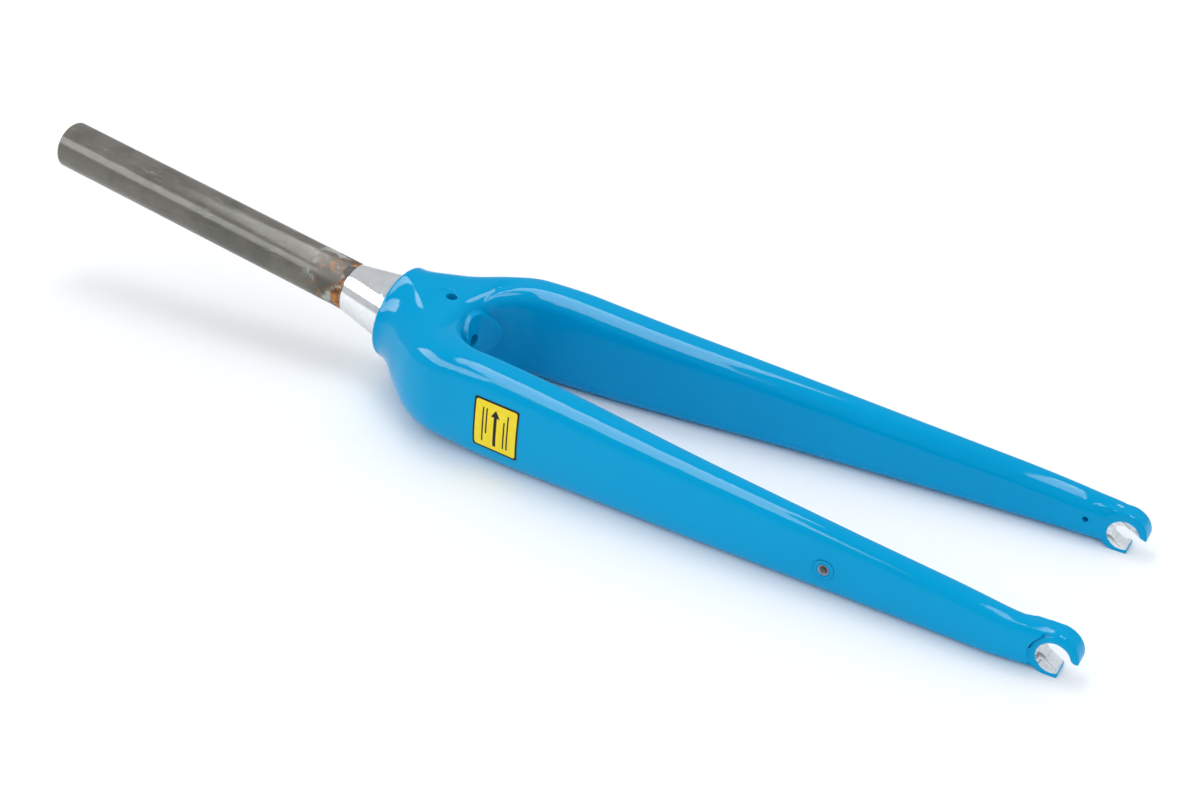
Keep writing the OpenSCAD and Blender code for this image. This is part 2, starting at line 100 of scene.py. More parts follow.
def curve(table, s):
    """Smooth curve through the rows (position, value) of a short table."""
    last = len(table) - 1

    def slope(i):
        a, b = max(i - 1, 0), min(i + 1, last)
        return (table[b][1] - table[a][1]) / (table[b][0] - table[a][0])

    i = 0
    while i < last - 1 and s > table[i + 1][0]:
        i += 1
    (s0, v0), (s1, v1) = table[i], table[i + 1]
    w = s1 - s0
    u = min(1.0, max(0.0, (s - s0) / w))
    return (v0 * (1 + 2 * u) * (1 - u) ** 2 + slope(i) * w * u * (1 - u) ** 2
            + v1 * u * u * (3 - 2 * u) + slope(i + 1) * w * u * u * (u - 1))


def outer(s):
    return curve(HALF_WIDTH, s)


def front(s):
    return curve(FRONT_FACE, s)


def rear(s):
    return floor_line(s) if s > REST_START else curve(REAR_FACE, s)


def flare(s):
    room = outer(s) - curve(THICKNESS, max(s, ARCH_MID)) - ARCH_R
    return room * min(1.0, max(0.0, (s - ARCH_TOP) / ARCH_R)) ** 2


def inner(s):
    if s <= ARCH_TOP:
        return 0.0
    if s < ARCH_MID:
        return math.sqrt(ARCH_R ** 2 - (ARCH_MID - s) ** 2) + flare(s)
    return outer(s) - curve(THICKNESS, s)


def arch_gap(s, y):
    return math.hypot(ARCH_MID - s, y - flare(s)) - ARCH_R if s < ARCH_MID else y - inner(s)


def corner(s):
    return ARCH_ROUND if s < 90 else min(ARCH_ROUND, curve(THICKNESS, s) / 2)


def round_drop(s, y):
    r, gap = corner(s), max(0.0, arch_gap(s, y))
    return 0.0 if gap >= r else r - math.sqrt(max(0.0, r * r - (r - gap) ** 2))


def saddle(s, y):
    if s > ARCH_MID:
        return 0.0
    fade = 1 if s < ARCH_TOP else 1 - (s - ARCH_TOP) / ARCH_R
    depth = front(s) - curve(FRONT_MIDDLE, min(s, ARCH_TOP))
    return depth * math.cos(math.radians(90 * min(1.0, y / 34))) ** 2 * fade


def rounding(s, side):
    if side > 0 and s < 90:
        return curve(FRONT_ROUND, s)
    return curve(REAR_ROUND, s) if side < 0 and s < 110 else curve(THICKNESS, s) / 2


def square(s, side):
    most = FRONT_SQUARE if side > 0 else REAR_SQUARE
    return 2 + (most - 2) * math.sin(math.radians(min(90.0, 1.2 * s))) ** 2


def rim(s):
    """The collar's rounded edge."""
    if s >= COLLAR_CHAMFER:
        return 0.0
    return COLLAR_CHAMFER - math.sqrt(max(0.0, COLLAR_CHAMFER ** 2 - (COLLAR_CHAMFER - s) ** 2))


def face_at(s, y, side):
    mid = (front(s) + rear(s)) / 2
    half = (front(s) - rear(s)) / 2 - rim(s)
    n = square(s, side)
    x = min(1.0, max(0.0, 1 - (outer(s) - rim(s) - y) / rounding(s, side)))
    drop = half * max(0.0, 1 - x ** n) ** (1 / n) - round_drop(s, y)
    return mid + side * drop - (saddle(s, y) if side > 0 else 0)


INNER_STEPS, OUTER_STEPS, WALL_STEPS = 8, 28, 8
LAST = 2 * (INNER_STEPS + OUTER_STEPS)
LOBE = LAST + 1 + WALL_STEPS


def across(s, side):
    """Side positions over one half section, from the inner side to the outer side."""
    yi, yo, r, n = inner(s), outer(s) - rim(s), rounding(s, side), square(s, side)
    y1 = yi + corner(s)
    x1 = max(0.0, 1 - (yo - y1) / r)
    a1 = math.acos(min(1.0, x1 ** (n / 2)))
    ys = [yi + corner(s) * (1 - math.cos(math.pi / 2 * k / INNER_STEPS))
          for k in range(INNER_STEPS + 1)]
    for k in range(1, OUTER_STEPS + 1):
        a = a1 * (1 - k / OUTER_STEPS)
        ys.append(yo - r * (1 - math.cos(a) ** (2 / n)))
    return ys


def section(s, side):
    """One closed lobe of the section: front outwards, rear inwards, then the inner wall."""
    f, b = across(s, 1), across(s, -1)
    pts = [(s, y, face_at(s, y, 1)) for y in f]
    pts += [(s, y, face_at(s, y, -1)) for y in reversed(b[:-1])]
    first, end = pts[0], pts[-1]
    for k in range(1, WALL_STEPS + 1):
        t = end[2] + (first[2] - end[2]) * k / (WALL_STEPS + 1)
        pts.append((s, first[1], t))
    return [(p[0], side * p[1], p[2]) for p in pts]


def stations(start, end, step):
    count = max(1, round((end - start) / step))
    return [start + (end - start) * i / count for i in range(count)]


CROWN_JOIN = 85.0


def crown_skin(end):
    """The crown and the blades' first stretch as one closed mesh, split at the arch."""
    crown = [COLLAR_CHAMFER * (1 - math.cos(math.pi / 2 * i / 4)) for i in range(4)]
    crown += stations(COLLAR_CHAMFER, 30, 1.6) + stations(30, ARCH_TOP - 4, 1.2)
    crown += [ARCH_TOP - d for d in (4, 2.8, 1.8, 1.0, 0.4, 0)]
    arch = [ARCH_MID - ARCH_R * math.cos(math.radians(a)) for a in
            [4, 6, 8.5, 11] + [14 + 3 * i for i in range(26)]]
    blade = [s for s in arch if s < ARCH_MID] + stations(ARCH_MID, end, 2.5) + [end]
    bm = bmesh.new()
    rings = []
    for s in crown:
        right, left = section(s, -1), section(s, 1)
        shared = {0, LAST}
        a = [bm.verts.new(row(*right[k])) for k in range(LAST + 1)]
        b = [a[k] if k in shared else bm.verts.new(row(*left[k])) for k in range(LAST + 1)]
        rings.append((a, b))
    wall = [bm.verts.new(row(*p)) for p in section(ARCH_TOP, 1)[LAST + 1:]]
    for (a0, b0), (a1, b1) in zip(rings, rings[1:]):
        for k in range(LAST):
            bm.faces.new((a0[k], a1[k], a1[k + 1], a0[k + 1]))
            bm.faces.new((b0[k], b0[k + 1], b1[k + 1], b1[k]))
    a0, b0 = rings[0]
    bm.faces.new(list(a0) + [b0[k] for k in range(LAST - 1, 0, -1)])
    lobes = [list(rings[-1][0]) + wall, list(rings[-1][1]) + wall]
    for s in blade:
        for i, side in enumerate((-1, 1)):
            ring = [bm.verts.new(row(*p)) for p in section(s, side)]
            old = lobes[i]
            for k in range(LOBE):
                j = (k + 1) % LOBE
                quad = (old[k], ring[k], ring[j], old[j])
                bm.faces.new(quad if side < 0 else quad[::-1])
            lobes[i] = ring
    bm.faces.new(lobes[0][::-1])
    bm.faces.new(lobes[1])
    bmesh.ops.recalc_face_normals(bm, faces=bm.faces)
    return bm


# ---------------------------------------------------------------- helpers
def loft(*solids):
    """Closed solids, each through like rings of fork points."""
    bm = bmesh.new()
    for rings in solids:
        rings = [[bm.verts.new(row(*p)) for p in ring] for ring in rings]
        for a, b in zip(rings, rings[1:]):
            for k in range(len(a)):
                j = (k + 1) % len(a)
                bm.faces.new((a[k], b[k], b[j], a[j]))
        bm.faces.new(rings[0])
        bm.faces.new(rings[-1])
    bmesh.ops.recalc_face_normals(bm, faces=bm.faces)
    return bm


def add_object(name, bm):
    mesh = bpy.data.meshes.new(name)
    bm.to_mesh(mesh)
    bm.free()
    obj = bpy.data.objects.new(name, mesh)
    scene.collection.objects.link(obj)
    return obj


def smooth(obj, angle=40):
    mesh = obj.data
    mesh.shade_smooth()
    mesh.set_sharp_from_angle(angle=math.radians(angle))


def applied(obj):
    """The object with its modifiers applied to its mesh."""
    bpy.context.view_layer.update()
    graph = bpy.context.evaluated_depsgraph_get()
    mesh = bpy.data.meshes.new_from_object(obj.evaluated_get(graph))
    obj.modifiers.clear()
    obj.data = mesh
    return obj


def cut(obj, cutters):
    for cutter in cutters:
        mod = obj.modifiers.new("cut", "BOOLEAN")
        mod.operation = "DIFFERENCE"
        mod.solver = "MANIFOLD"
        mod.object = cutter
        mod.material_mode = "TRANSFER"
    applied(obj)
    for cutter in cutters:
        bpy.data.objects.remove(cutter)
    return obj


def rod(name, centre, axis, radius, length, material=None, radius2=None, segments=64):
    """A cylinder or cone along an axis; centre is the middle of its length."""
    bm = bmesh.new()
    bmesh.ops.create_cone(bm, cap_ends=True, segments=segments, radius1=radius * MM,
                          radius2=(radius if radius2 is None else radius2) * MM,
                          depth=length * MM)
    turn = Vector((0, 0, 1)).rotation_difference(axis).to_matrix().to_4x4()
    bm.transform(Matrix.Translation(centre) @ turn)
    obj = add_object(name, bm)
    if material:
        obj.data.materials.append(material)
    return obj


# ---------------------------------------------------------------- materials
class Nodes:
    """A small builder for a material's node tree."""

    def __init__(self, name):
        self.material = bpy.data.materials.new(name)
        self.material.use_nodes = True
        self.tree = self.material.node_tree
        self.shader = self.tree.nodes["Principled BSDF"]
        self.position = self.add("ShaderNodeTexCoord").outputs["Object"]

    def add(self, kind, inputs=None, **settings):
        node = self.tree.nodes.new(kind)
        for key, value in settings.items():
            setattr(node, key, value)
        for key, value in (inputs or {}).items():
            self.put(node.inputs[key], value)
        return node

    def put(self, socket, value):
        if isinstance(value, bpy.types.NodeSocket):
            self.tree.links.new(value, socket)
        else:
            socket.default_value = value

    def set(self, **values):
        for key, value in values.items():
            self.put(self.shader.inputs[key.replace("_", " ")], value)

    def math(self, operation, a, b=0.0, clamp=False):
        node = self.add("ShaderNodeMath", operation=operation, use_clamp=clamp)
        for i, value in enumerate((a, b)):
            self.put(node.inputs[i], value)
        return node.outputs[0]

    def length(self, a, b):
        """The distance whose two square-on parts are a and b."""
        return self.math("SQRT", self.math("ADD", self.math("MULTIPLY", a, a),
                                           self.math("MULTIPLY", b, b)))

    def noise(self, scale, detail=3.0, rough=0.5, vector=None, stretch=None):
        vector = self.position if vector is None else vector
        if stretch:
            mapping = self.add("ShaderNodeMapping", {"Vector": vector, "Scale": stretch})
            vector = mapping.outputs[0]
        node = self.add("ShaderNodeTexNoise",
                        {"Vector": vector, "Scale": scale, "Detail": detail, "Roughness": rough})
        return node.outputs["Fac"]

    def remap(self, value, low, high, to_low=0.0, to_high=1.0, kind="SMOOTHSTEP"):
        node = self.add("ShaderNodeMapRange", interpolation_type=kind)
        for i, v in enumerate((value, low, high, to_low, to_high)):
            self.put(node.inputs[i], v)
        return node.outputs[0]

    def mix(self, share, a, b):
        node = self.add("ShaderNodeMix", data_type="RGBA")
        self.put(node.inputs[0], share)
        self.put(node.inputs[6], a)
        self.put(node.inputs[7], b)
        return node.outputs[2]

    def bump(self, height, strength, distance=0.0002):
        node = self.add("ShaderNodeBump", {"Height": height, "Strength": strength,
                                           "Distance": distance})
        self.put(self.shader.inputs["Normal"], node.outputs[0])

    def along(self, direction, start):
        """Millimetres from the fork point start, along a direction of the fork frame."""
        axis = turned(*direction)
        dot = self.add("ShaderNodeVectorMath", {0: self.position, 1: axis / MM},
                       operation="DOT_PRODUCT").outputs["Value"]
        return self.math("SUBTRACT", dot, row(*start).dot(axis) / MM)

    def both(self, *masks):
        value = masks[0]
        for mask in masks[1:]:
            value = self.math("MULTIPLY", value, mask)
        return value

    def inside(self, value, low, high, soft):
        """1 between low and high, 0 outside, with soft edges."""
        return self.both(self.remap(value, low - soft, low + soft),
                         self.remap(value, high - soft, high + soft, 1.0, 0.0))


def rgb(r, g, b):
    """An sRGB colour, 0 to 255, as the linear colour that a shader takes."""
    def linear(c):
        c /= 255
        return c / 12.92 if c <= 0.04045 else ((c + 0.055) / 1.055) ** 2.4
    return (linear(r), linear(g), linear(b), 1.0)


BLUE_LOW, BLUE_HIGH = rgb(0, 152, 204), rgb(0, 156, 208)


def blue(n):
    return n.mix(n.remap(n.noise(9, 2), 0.3, 0.7), BLUE_LOW, BLUE_HIGH)


def paint_material():
    n = Nodes("blue_paint")
    dust = n.noise(900, 2)
    n.set(Base_Color=blue(n), Roughness=n.remap(dust, 0.3, 0.75, 0.03, 0.06))
    n.set(Specular_IOR_Level=0.1)
    n.bump(n.noise(260, 2), 0.004, 0.0002)
    return n.material


def steel_material():
    n = Nodes("raw_steel")
    s = n.along((1, 0, 0), (0, 0, 0))
    blotch = n.noise(75, 5, 0.62)
    patch = n.noise(38, 4, 0.6)
    fine = n.noise(420, 3, 0.6, stretch=(0.12, 1.0, 1.0))
    scratch = n.noise(90, 2, 0.5, stretch=(0.06, 9.0, 9.0))
    grey = n.mix(n.remap(patch, 0.35, 0.65), rgb(98, 96, 89), rgb(112, 109, 101))
    grey = n.mix(n.remap(scratch, 0.6, 0.72), grey, rgb(124, 122, 115))
    edge = n.math("ADD", s, n.math("MULTIPLY", n.math("SUBTRACT", blotch, 0.5), 46))
    foul = n.remap(edge, -60, -46)
    dark = n.mix(foul, grey, rgb(88, 84, 77))
    pale = n.both(foul, n.remap(blotch, 0.5, 0.6), n.remap(patch, 0.4, 0.55))
    dark = n.mix(pale, dark, rgb(168, 166, 160))
    rim = n.math("ADD", s, n.math("MULTIPLY", n.math("SUBTRACT", n.noise(120, 4, 0.65), 0.5), 26))
    vein = n.both(foul, n.remap(blotch, 0.46, 0.49), n.remap(blotch, 0.49, 0.52, 1.0, 0.0))
    rust = n.math("ADD", n.remap(rim, -36.5, -34.5), n.math("MULTIPLY", vein, 0.6), clamp=True)
    brown = n.mix(n.remap(n.noise(200, 4), 0.35, 0.65), rgb(92, 62, 38), rgb(182, 122, 66))
    base = n.mix(rust, dark, brown)
    base = n.mix(n.both(n.remap(s, -37.5, -36), n.remap(n.noise(60, 2), 0.56, 0.6)), base,
                 rgb(40, 38, 36))
    dull = n.math("ADD", fine, n.math("MULTIPLY", foul, 0.5))
    n.set(Base_Color=base, Roughness=n.remap(dull, 0.3, 1.2, 0.1, 0.45))
    n.set(Specular_IOR_Level=0.14)
    n.bump(n.math("ADD", fine, n.math("MULTIPLY", blotch, foul)), 0.2, 0.0002)
    return n.material


def alloy_material():
    n = Nodes("polished_alloy")
    s = n.along((1, 0, 0), (0, 0, 0))
    turned_lines = n.add("ShaderNodeTexNoise", {"W": n.math("MULTIPLY", s, 2.4), "Detail": 4.0},
                         noise_dimensions="1D").outputs["Fac"]
    fine = n.noise(160, 3, 0.6)
    base = n.mix(n.remap(fine, 0.3, 0.7), rgb(226, 228, 230), rgb(236, 237, 239))
    # painted shade: the narrow chamfer ring at the foot of the taper is painted dark grey
    base = n.mix(n.inside(s, -32.6, -31.3, 0.1), base, rgb(112, 112, 112))
    n.set(Base_Color=base, Metallic=0.55, Roughness=n.remap(turned_lines, 0.3, 0.7, 0.05, 0.09))
    n.bump(turned_lines, 0.01, 0.0001)
    return n.material


SLOT_ANGLE = math.radians(18)
NUT_SEAT, NUT_SHIFT = 7.8, 1.4
NUT_PLACE = (AXLE_DOWN + NUT_SHIFT * math.cos(SLOT_ANGLE), 0,
             RAKE - NUT_SHIFT * math.sin(SLOT_ANGLE))


def dropout_material():
    """Paint with bare, smeared metal round the axle, where the nut and the hub bear."""
    n = Nodes("painted_and_bare")
    down = n.along((math.cos(SLOT_ANGLE), 0, -math.sin(SLOT_ANGLE)), NUT_PLACE)
    over = n.along((math.sin(SLOT_ANGLE), 0, math.cos(SLOT_ANGLE)), NUT_PLACE)
    radius = n.length(down, over)
    wander = n.math("MULTIPLY", n.math("SUBTRACT", n.noise(300, 2), 0.5), 0.5)
    bare = n.remap(n.math("ADD", radius, wander), NUT_SEAT + 0.15, NUT_SEAT + 0.4, 1.0, 0.0)
    fine = n.noise(900, 4, 0.6)
    streak = n.add("ShaderNodeCombineXYZ", {"X": n.math("MULTIPLY", down, 0.08),
                                            "Y": n.math("MULTIPLY", over, 1.1)}).outputs[0]
    smear = n.noise(1.0, 3, 0.6, vector=streak)
    metal = n.mix(n.remap(fine, 0.3, 0.7), rgb(222, 225, 228), rgb(238, 240, 242))
    metal = n.mix(n.remap(smear, 0.5, 0.6), metal, rgb(142, 141, 138))
    gloss = n.remap(fine, 0.3, 0.7, 0.03, 0.06)
    n.set(Base_Color=n.mix(bare, blue(n), metal),
          Roughness=n.math("ADD", n.math("MULTIPLY", bare, 0.3), gloss))
    n.set(Specular_IOR_Level=0.1)
    n.bump(n.math("MULTIPLY", fine, bare), 0.15, 0.0001)
    return n.material


INSERT_DOWN, INSERT_BORE, INSERT_RING = 289.0, 2.5, 5.5
INSERT_HEIGHT = (front(INSERT_DOWN) + rear(INSERT_DOWN)) / 2 - 1.5


def insert_material():
    n = Nodes("insert_metal")
    place = (INSERT_DOWN, 0, INSERT_HEIGHT)
    s, t = n.along((1, 0, 0), place), n.along((0, 0, 1), place)
    radius = n.length(s, t)
    bare_share = n.remap(radius, INSERT_BORE + 0.1, INSERT_BORE + 0.4, 1.0, 0.0)
    fine = n.noise(900, 3)
    metal = n.mix(n.remap(fine, 0.3, 0.7), rgb(150, 152, 155), rgb(196, 198, 200))
    # painted shade: the blue flange is a darker blue next to the bore and round its outer edge
    ring = n.mix(n.inside(radius, 3.6, INSERT_RING - 0.3, 0.3), rgb(0, 118, 168), blue(n))
    n.set(Base_Color=n.mix(bare_share, ring, metal),
          Roughness=n.remap(fine, 0.3, 0.7, 0.15, 0.3))
    n.set(Specular_IOR_Level=0.1)
    n.bump(fine, 0.05, 0.0001)
    return n.material


LABEL_DOWN, LABEL_FRONT, LABEL_LENGTH, LABEL_WIDTH = 86.3, 19.3, 27.4, 30.4
LABEL_LEAN, LABEL_RISE = 3.0, 3.2
LABEL_BORDER, LABEL_CORNER = 1.1, 1.4
ARROW_MIDDLE, ARROW_HALF, ARROW_TIP, ARROW_TAIL, ARROW_SLOPE = 13.4, 0.95, 4.4, 26.8, 0.62
LABEL_BAR_WIDTH = 0.9
LABEL_BARS = ((5.4, 5.0, 26.0), (7.6, 5.0, 20.5), (18.4, 9.5, 26.0), (20.6, 5.0, 26.0))


def label_material():
    """Yellow film with a black border, an arrow that points forward and plain bars."""
    n = Nodes("label_film")
    s = n.along((1, 0, 0), (LABEL_DOWN, 0, LABEL_FRONT))
    t = n.along((0, 0, 1), (LABEL_DOWN, 0, LABEL_FRONT))
    area = LABEL_LENGTH * LABEL_WIDTH + LABEL_LEAN * LABEL_RISE
    u = n.math("ADD", n.math("MULTIPLY", s, LABEL_WIDTH * LABEL_LENGTH / area),
               n.math("MULTIPLY", t, LABEL_LEAN * LABEL_LENGTH / area))
    v = n.math("SUBTRACT", n.math("MULTIPLY", s, LABEL_RISE * LABEL_WIDTH / area),
               n.math("MULTIPLY", t, LABEL_LENGTH * LABEL_WIDTH / area))
    du = n.math("ABSOLUTE", n.math("SUBTRACT", u, LABEL_LENGTH / 2))
    dv = n.math("ABSOLUTE", n.math("SUBTRACT", v, LABEL_WIDTH / 2))
    reach = LABEL_CORNER
    qu = n.math("MAXIMUM", n.math("SUBTRACT", du, LABEL_LENGTH / 2 - LABEL_BORDER - reach), 0.0)
    qv = n.math("MAXIMUM", n.math("SUBTRACT", dv, LABEL_WIDTH / 2 - LABEL_BORDER - reach), 0.0)
    black = [n.remap(n.length(qu, qv), reach - 0.08, reach + 0.08)]

    def bar(u0, u1, v0, v1):
        black.append(n.both(n.inside(u, u0, u1, 0.1), n.inside(v, v0, v1, 0.1)))

    bar(ARROW_MIDDLE - ARROW_HALF, ARROW_MIDDLE + ARROW_HALF, ARROW_TIP + 4.0, ARROW_TAIL)
    head = n.math("SUBTRACT", n.math("MULTIPLY", n.math("SUBTRACT", v, ARROW_TIP), ARROW_SLOPE),
                  n.math("ABSOLUTE", n.math("SUBTRACT", u, ARROW_MIDDLE)))
    head_end = ARROW_TIP + 4.5
    black.append(n.both(n.remap(head, -0.1, 0.1), n.remap(v, head_end - 0.1, head_end + 0.1,
                                                          1.0, 0.0)))
    for u0, v0, v1 in LABEL_BARS:
        bar(u0, u0 + LABEL_BAR_WIDTH, v0, v1)
    mark = black[0]
    for other in black[1:]:
        mark = n.math("MAXIMUM", mark, other)
    fine = n.noise(300, 2)
    yellow = n.mix(n.remap(fine, 0.3, 0.7), rgb(238, 212, 44), rgb(244, 219, 54))
    n.set(Base_Color=n.mix(mark, yellow, rgb(38, 34, 36)),
          Roughness=n.remap(fine, 0.3, 0.7, 0.3, 0.4))
    n.set(Specular_IOR_Level=0.15)
    n.bump(fine, 0.03, 0.0001)
    return n.material


paint = paint_material()
steel = steel_material()
alloy = alloy_material()
painted_and_bare = dropout_material()
insert = insert_material()
label = label_material()


def dress(obj, material):
    obj.data.materials.clear()
    obj.data.materials.append(material)


def piece(obj, node):
    """Hides the CAD node and hangs obj, the piece that stands for it, on the root body."""
    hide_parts(node)
    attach(obj, "root")
    return obj


def softened(obj, voxel, repeat):
    """The object as one even mesh with its edges rounded."""
    mod = obj.modifiers.new("remesh", "REMESH")
    mod.mode = "VOXEL"
    mod.voxel_size = voxel * MM
    mod = obj.modifiers.new("smooth", "SMOOTH")
    mod.factor = 0.5
    mod.iterations = repeat
    return applied(obj)


# ---------------------------------------------------------------- the painted body
FORWARD, SIDE = turned(0, 0, 1), turned(0, 1, 0)
BRAKE_HOLE, BRAKE_NUT, NUT_DEPTH, BRAKE_SPOT, SPOT_DEPTH = 3.1, 4.1, 14.0, 7.5, 0.3
CORE_LINE = turned(math.cos(CORE_TILT), 0, math.sin(CORE_TILT))
CORE_FRONT = turned(-math.sin(CORE_TILT), 0, math.cos(CORE_TILT))
MUDGUARD_HOLE = 3.7


def on_core(d):
    return row(d * math.cos(CORE_TILT), 0, d * math.sin(CORE_TILT))


def join(obj, others):
    for other in others:
        mod = obj.modifiers.new("join", "BOOLEAN")
        mod.operation = "UNION"
        mod.solver = "MANIFOLD"
        mod.object = other
    applied(obj)
    for other in others:
        bpy.data.objects.remove(other)
    return obj


def slab(name, s0, s1, side_y, half_y, material):
    """A block across the fork between two positions down it."""
    bm = bmesh.new()
    bmesh.ops.create_cube(bm, size=1)
    for v in bm.verts:
        v.co = row((s0 + s1) / 2 + v.co.x * (s1 - s0), side_y + v.co.y * 2 * half_y, v.co.z * 160)
    obj = add_object(name, bm)
    obj.data.materials.append(material)
    return obj


def under_floor(name, side_y, material):
    """A block of space below the floor, along the whole fork."""
    bm = bmesh.new()
    bmesh.ops.create_cube(bm, size=1)
    for v in bm.verts:
        v.co = Vector((v.co.x * 900, v.co.y * 60 + side_y, v.co.z * 40 - 20)) * MM
    obj = add_object(name, bm)
    obj.data.materials.append(material)
    return obj


skin = add_object("skin", crown_skin(CROWN_JOIN + 12))
body = add_object("painted_body", crown_skin(CROWN_JOIN + 12))
boss = rod("core_end", on_core(44), CORE_LINE, CORE_R, 36, segments=128)
cut(boss, [rod("tyre", on_core(CORE_END + CORE_END_R), CORE_FRONT, CORE_END_R, 60,
               segments=128)])
spot = BRAKE_FACE - SPOT_DEPTH
cut(body, [rod("spot", row(BRAKE_DOWN, 0, spot + 3), FORWARD, BRAKE_SPOT, 6)])
join(body, [boss])
softened(body, 0.7, 7)
JOIN_START, JOIN_LENGTH = CROWN_JOIN - 12, 9
near_join = body.vertex_groups.new(name="near_join")
for vert in body.data.vertices:
    s = (vert.co.x / MM - SHIFT_X) * COS - (vert.co.z / MM - SEAT_HEIGHT) * SIN
    if s > JOIN_START:
        near_join.add([vert.index], min(1.0, (s - JOIN_START) / JOIN_LENGTH), "REPLACE")
wrap = body.modifiers.new("wrap", "SHRINKWRAP")
wrap.target = skin
wrap.vertex_group = "near_join"
applied(body)
bpy.data.objects.remove(skin)
dress(body, paint)
nut_floor = rear(BRAKE_DOWN) + NUT_DEPTH
cut(body, [
    slab("beyond", CROWN_JOIN, CROWN_JOIN + 40, 0, 80, paint),
    rod("hole", row(BRAKE_DOWN, 0, 0), FORWARD, BRAKE_HOLE, 90, paint),
    rod("entry", row(BRAKE_DOWN, 0, spot), FORWARD, BRAKE_HOLE - 0.3, 1.4, paint,
        radius2=BRAKE_HOLE + 0.9),
    rod("nut_seat", row(BRAKE_DOWN, 0, nut_floor - 20), FORWARD, BRAKE_NUT, 40, paint),
    rod("mudguard", on_core(50), CORE_LINE, MUDGUARD_HOLE, 40, paint)])
blade_stations = stations(CROWN_JOIN, 120, 2.5) + stations(120, 340, 6)
blade_stations += stations(340, BLADE_END, 3) + [BLADE_END]
blades = add_object("blades", loft(*[[section(s, side) for s in blade_stations]
                                     for side in (-1, 1)]))
dress(blades, paint)
cut(blades, [rod("insert", row(INSERT_DOWN, side * 60, INSERT_HEIGHT), SIDE, INSERT_BORE + 0.9,
                 30, paint) for side in (-1, 1)])
for part in (body, blades):
    smooth(part, 38)
merged = bmesh.new()
for part in (body, blades):
    merged.from_mesh(part.data)
merged.to_mesh(body.data)
merged.free()
bpy.data.objects.remove(blades)
piece(body, "fork_body")


# ---------------------------------------------------------------- core's turned top
def lathe(name, profile, material, segments=160):
    """A closed ring turned round the steerer axis from rows (position, radius)."""
    bm = bmesh.new()
    rings = []
    for s, r in profile:
        turn = [2 * math.pi * i / segments for i in range(segments)]
        rings.append([bm.verts.new(row(s, r * math.cos(a), r * math.sin(a))) for a in turn])
    for a, b in zip(rings, rings[1:] + rings[:1]):
        for i in range(segments):
            j = (i + 1) % segments
            bm.faces.new((a[i], a[j], b[j], b[i]))
    bmesh.ops.recalc_face_normals(bm, faces=bm.faces)
    obj = add_object(name, bm)
    obj.data.materials.append(material)
    return obj


TAPER_TOP, SEAT_R, SEAT_LONG, SPIGOT, SPIGOT_R, CORE_BORE = 15.0, 19.9, 6.0, 45.0, 12.1, 10.5
core = lathe("turned_core", [
    (-TAPER - SPIGOT, CORE_BORE), (-TAPER - SPIGOT, SPIGOT_R), (-TAPER, SPIGOT_R),
    (-TAPER, TAPER_TOP - 0.6), (-TAPER + 0.25, TAPER_TOP - 0.2), (-TAPER + 0.6, TAPER_TOP),
    (-SEAT_LONG, SEAT_R - 0.3), (-SEAT_LONG + 0.1, SEAT_R - 0.08), (-SEAT_LONG + 0.25, SEAT_R),
    (-0.7, SEAT_R), (-0.5, SEAT_R - 0.3), (0, SEAT_R - 0.3), (0, CORE_R), (30, CORE_R),
    (30, CORE_BORE)], alloy)
smooth(core, 30)
piece(core, "crown_core")

# ---------------------------------------------------------------- dropouts
HUB_HALF, PLATE, NUT_FACE = 50.0, 10.9, 57.5
NECK_LENGTH, NECK_OUTER, JAW_INSET = 26.0, 2.2, 0.4
HUB_SEAT = 7.6
SLOT_R, SLOT_FLARE = 4.5, math.radians(4.5)
VENT_DOWN, VENT_R = BLADE_END + 8.6, 1.5
NECK_TOP = [(0, BLADE_FRONT), (0.2, BLADE_FRONT + 0.3), (0.45, BLADE_FRONT + 1.0),
            (0.7, RAKE + HEAD_RADIUS - 0.6), (1, RAKE + HEAD_RADIUS - 0.2)]
HEAD_DOWN, OUTER_FACE = AXLE_DOWN + HEAD_SHIFT, HUB_HALF + PLATE
NECK_EDGE = [(379, 49.8, 52), (387, 52.3, 50.8), (394, 53.3, 50.4), (HEAD_DOWN, 53.9, 50.3)]
JAW_ROUND, JAW_DOWN, JAW_LOW = 2.6, 6.3, -7.4
JAW_TIP = [(JAW_DOWN + JAW_ROUND * math.sin(math.pi * i / 12),
            JAW_LOW + JAW_ROUND * math.cos(math.pi * i / 12)) for i in range(13)]
SLOT_DOWN = (math.cos(SLOT_ANGLE), -math.sin(SLOT_ANGLE))
SLOT_ACROSS = (math.sin(SLOT_ANGLE), math.cos(SLOT_ANGLE))


def at_axle(along, across, y, side):
    """A point of one dropout, from the axle along and across the slot."""
    return row(AXLE_DOWN + along * SLOT_DOWN[0] + across * SLOT_ACROSS[0], side * y,
               RAKE + along * SLOT_DOWN[1] + across * SLOT_ACROSS[1])


def prism(name, outline, y0, y1, side):
    """A flat outline in the slot's own frame, drawn out between two side positions."""
    bm = bmesh.new()
    ends = [[bm.verts.new(at_axle(a, b, y, side)) for a, b in outline] for y in (y0, y1)]
    bm.faces.new(ends[0])
    bm.faces.new(ends[1][::-1])
    for i in range(len(outline)):
        j = (i + 1) % len(outline)
        bm.faces.new((ends[0][i], ends[1][i], ends[1][j], ends[0][j]))
    bmesh.ops.recalc_face_normals(bm, faces=bm.faces)
    return add_object(name, bm)


def slot_outline(r, reach):
    """The slot's round end and flared sides."""
    turn = [math.pi / 2 + SLOT_FLARE + (math.pi - 2 * SLOT_FLARE) * i / 24 for i in range(25)]
    pts = [(r * math.cos(a), r * math.sin(a)) for a in turn]
    wide = r + reach * math.tan(SLOT_FLARE)
    return pts + [(reach, -wide), (reach, wide)]


